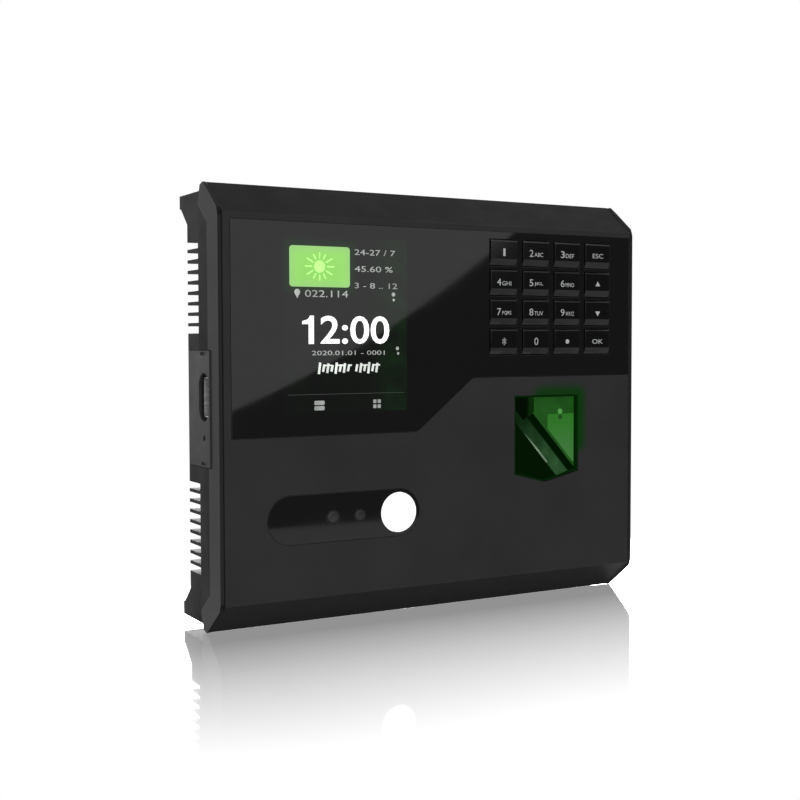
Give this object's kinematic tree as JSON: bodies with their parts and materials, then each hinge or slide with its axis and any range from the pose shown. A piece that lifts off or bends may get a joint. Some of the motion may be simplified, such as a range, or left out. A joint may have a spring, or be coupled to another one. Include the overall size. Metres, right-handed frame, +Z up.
{
  "type": "fingerprint scanner terminal",
  "caption": "Black landscape wall-mounted access terminal with fingerprint sensor, face camera, display, glossy lens and push-button keypad.",
  "frame": {"origin": "centre of the wall plate's rear face", "axes": "+X to the right as seen from the front, +Y into the wall, +Z up"},
  "size_m": [0.1721, 0.0349, 0.1488],
  "materials": {
    "housing_front": "fine grain moulded black",
    "fascia_black": "fine grain moulded black",
    "housing_rear": "fine grain moulded black",
    "lens_black": "polished black",
    "key_black": "satin black",
    "port_plate": "satin dark grey",
    "steel_plate": "zinc plated",
    "screw_steel": "plated",
    "screw_brass": "passivated",
    "white_plastic": "satin",
    "gold_contact": "gold plated",
    "board_green": "solder mask",
    "dome_steel": "stamped",
    "clear_film": "film",
    "screen_glass": "display",
    "flex_amber": "polyimide film",
    "sensor_black": "satin black",
    "sensor_green": "lit diffuser",
    "prism_glass": "polished",
    "module_black": "satin black",
    "diffuser_white": "opal",
    "emitter_yellow": "phosphor",
    "cell_steel": "polished",
    "holder_black": "moulded",
    "jack_metal": "tinned",
    "terminal_green": "moulded"
  },
  "bodies": {
    "terminal": {"front_housing": "housing_front", "fascia": "fascia_black", "front_lens": "lens_black", "rear_housing": "housing_rear", "wall_plate": "steel_plate", "wall_plate_screw": "screw_steel", "housing_screws": "screw_steel", "fascia_screws": "screw_steel", "side_port_plate": "port_plate", "usb_socket": "steel_plate", "usb_tongue": "white_plastic", "usb_contacts": "gold_contact", "keypad_board": "board_green", "keypad_domes": "dome_steel", "keypad_dome_sheet": "clear_film", "display_panel": "screen_glass", "display_frame": "steel_plate", "display_flex": "flex_amber", "sensor_bezel": "sensor_black", "sensor_light": "sensor_green", "sensor_prism": "prism_glass", "sensor_shield": "sensor_black", "sensor_camera": "module_black", "sensor_board": "board_green", "camera_window": "lens_black", "light_diffuser": "diffuser_white", "light_emitter": "emitter_yellow", "camera_visible": "module_black", "camera_infrared": "module_black", "camera_board": "board_green", "main_board": "board_green", "main_chips": "module_black", "coin_cell": "cell_steel", "coin_cell_holder": "holder_black", "ethernet_jack": "jack_metal", "terminal_block": "terminal_green", "speaker": "module_black", "reset_switch": "module_black", "tamper_switch": "module_black", "board_screws": "screw_brass", "flex_ribbons": "flex_amber"},
    "key_1": {"key_1": "key_black"},
    "key_2": {"key_2": "key_black"},
    "key_3": {"key_3": "key_black"},
    "key_escape": {"key_escape": "key_black"},
    "key_4": {"key_4": "key_black"},
    "key_5": {"key_5": "key_black"},
    "key_6": {"key_6": "key_black"},
    "key_up": {"key_up": "key_black"},
    "key_7": {"key_7": "key_black"},
    "key_8": {"key_8": "key_black"},
    "key_9": {"key_9": "key_black"},
    "key_down": {"key_down": "key_black"},
    "key_menu": {"key_menu": "key_black"},
    "key_0": {"key_0": "key_black"},
    "key_dot": {"key_dot": "key_black"},
    "key_ok": {"key_ok": "key_black"},
    "reset_plunger": {"reset_plunger": "white_plastic"},
    "tamper_plunger": {"tamper_plunger": "white_plastic"}
  },
  "joints": [
    {"name": "key_1_press", "type": "slide", "parent": "terminal", "child": "key_1", "axis": [0, 1, 0], "range_m": [0, 0.0008], "stiffness_N_per_m": 500, "springref_m": -0.0005},
    {"name": "key_2_press", "type": "slide", "parent": "terminal", "child": "key_2", "axis": [0, 1, 0], "range_m": [0, 0.0008], "stiffness_N_per_m": 500, "springref_m": -0.0005},
    {"name": "key_3_press", "type": "slide", "parent": "terminal", "child": "key_3", "axis": [0, 1, 0], "range_m": [0, 0.0008], "stiffness_N_per_m": 500, "springref_m": -0.0005},
    {"name": "key_escape_press", "type": "slide", "parent": "terminal", "child": "key_escape", "axis": [0, 1, 0], "range_m": [0, 0.0008], "stiffness_N_per_m": 500, "springref_m": -0.0005},
    {"name": "key_4_press", "type": "slide", "parent": "terminal", "child": "key_4", "axis": [0, 1, 0], "range_m": [0, 0.0008], "stiffness_N_per_m": 500, "springref_m": -0.0005},
    {"name": "key_5_press", "type": "slide", "parent": "terminal", "child": "key_5", "axis": [0, 1, 0], "range_m": [0, 0.0008], "stiffness_N_per_m": 500, "springref_m": -0.0005},
    {"name": "key_6_press", "type": "slide", "parent": "terminal", "child": "key_6", "axis": [0, 1, 0], "range_m": [0, 0.0008], "stiffness_N_per_m": 500, "springref_m": -0.0005},
    {"name": "key_up_press", "type": "slide", "parent": "terminal", "child": "key_up", "axis": [0, 1, 0], "range_m": [0, 0.0008], "stiffness_N_per_m": 500, "springref_m": -0.0005},
    {"name": "key_7_press", "type": "slide", "parent": "terminal", "child": "key_7", "axis": [0, 1, 0], "range_m": [0, 0.0008], "stiffness_N_per_m": 500, "springref_m": -0.0005},
    {"name": "key_8_press", "type": "slide", "parent": "terminal", "child": "key_8", "axis": [0, 1, 0], "range_m": [0, 0.0008], "stiffness_N_per_m": 500, "springref_m": -0.0005},
    {"name": "key_9_press", "type": "slide", "parent": "terminal", "child": "key_9", "axis": [0, 1, 0], "range_m": [0, 0.0008], "stiffness_N_per_m": 500, "springref_m": -0.0005},
    {"name": "key_down_press", "type": "slide", "parent": "terminal", "child": "key_down", "axis": [0, 1, 0], "range_m": [0, 0.0008], "stiffness_N_per_m": 500, "springref_m": -0.0005},
    {"name": "key_menu_press", "type": "slide", "parent": "terminal", "child": "key_menu", "axis": [0, 1, 0], "range_m": [0, 0.0008], "stiffness_N_per_m": 500, "springref_m": -0.0005},
    {"name": "key_0_press", "type": "slide", "parent": "terminal", "child": "key_0", "axis": [0, 1, 0], "range_m": [0, 0.0008], "stiffness_N_per_m": 500, "springref_m": -0.0005},
    {"name": "key_dot_press", "type": "slide", "parent": "terminal", "child": "key_dot", "axis": [0, 1, 0], "range_m": [0, 0.0008], "stiffness_N_per_m": 500, "springref_m": -0.0005},
    {"name": "key_ok_press", "type": "slide", "parent": "terminal", "child": "key_ok", "axis": [0, 1, 0], "range_m": [0, 0.0008], "stiffness_N_per_m": 500, "springref_m": -0.0005},
    {"name": "reset_press", "type": "slide", "parent": "terminal", "child": "reset_plunger", "axis": [1, 0, 0], "range_m": [0, 0.00025], "stiffness_N_per_m": 800, "springref_m": -0.0003},
    {"name": "tamper_press", "type": "slide", "parent": "terminal", "child": "tamper_plunger", "axis": [0, -1, 0], "range_m": [0, 0.0005], "stiffness_N_per_m": 300, "springref_m": -0.001}
  ]
}
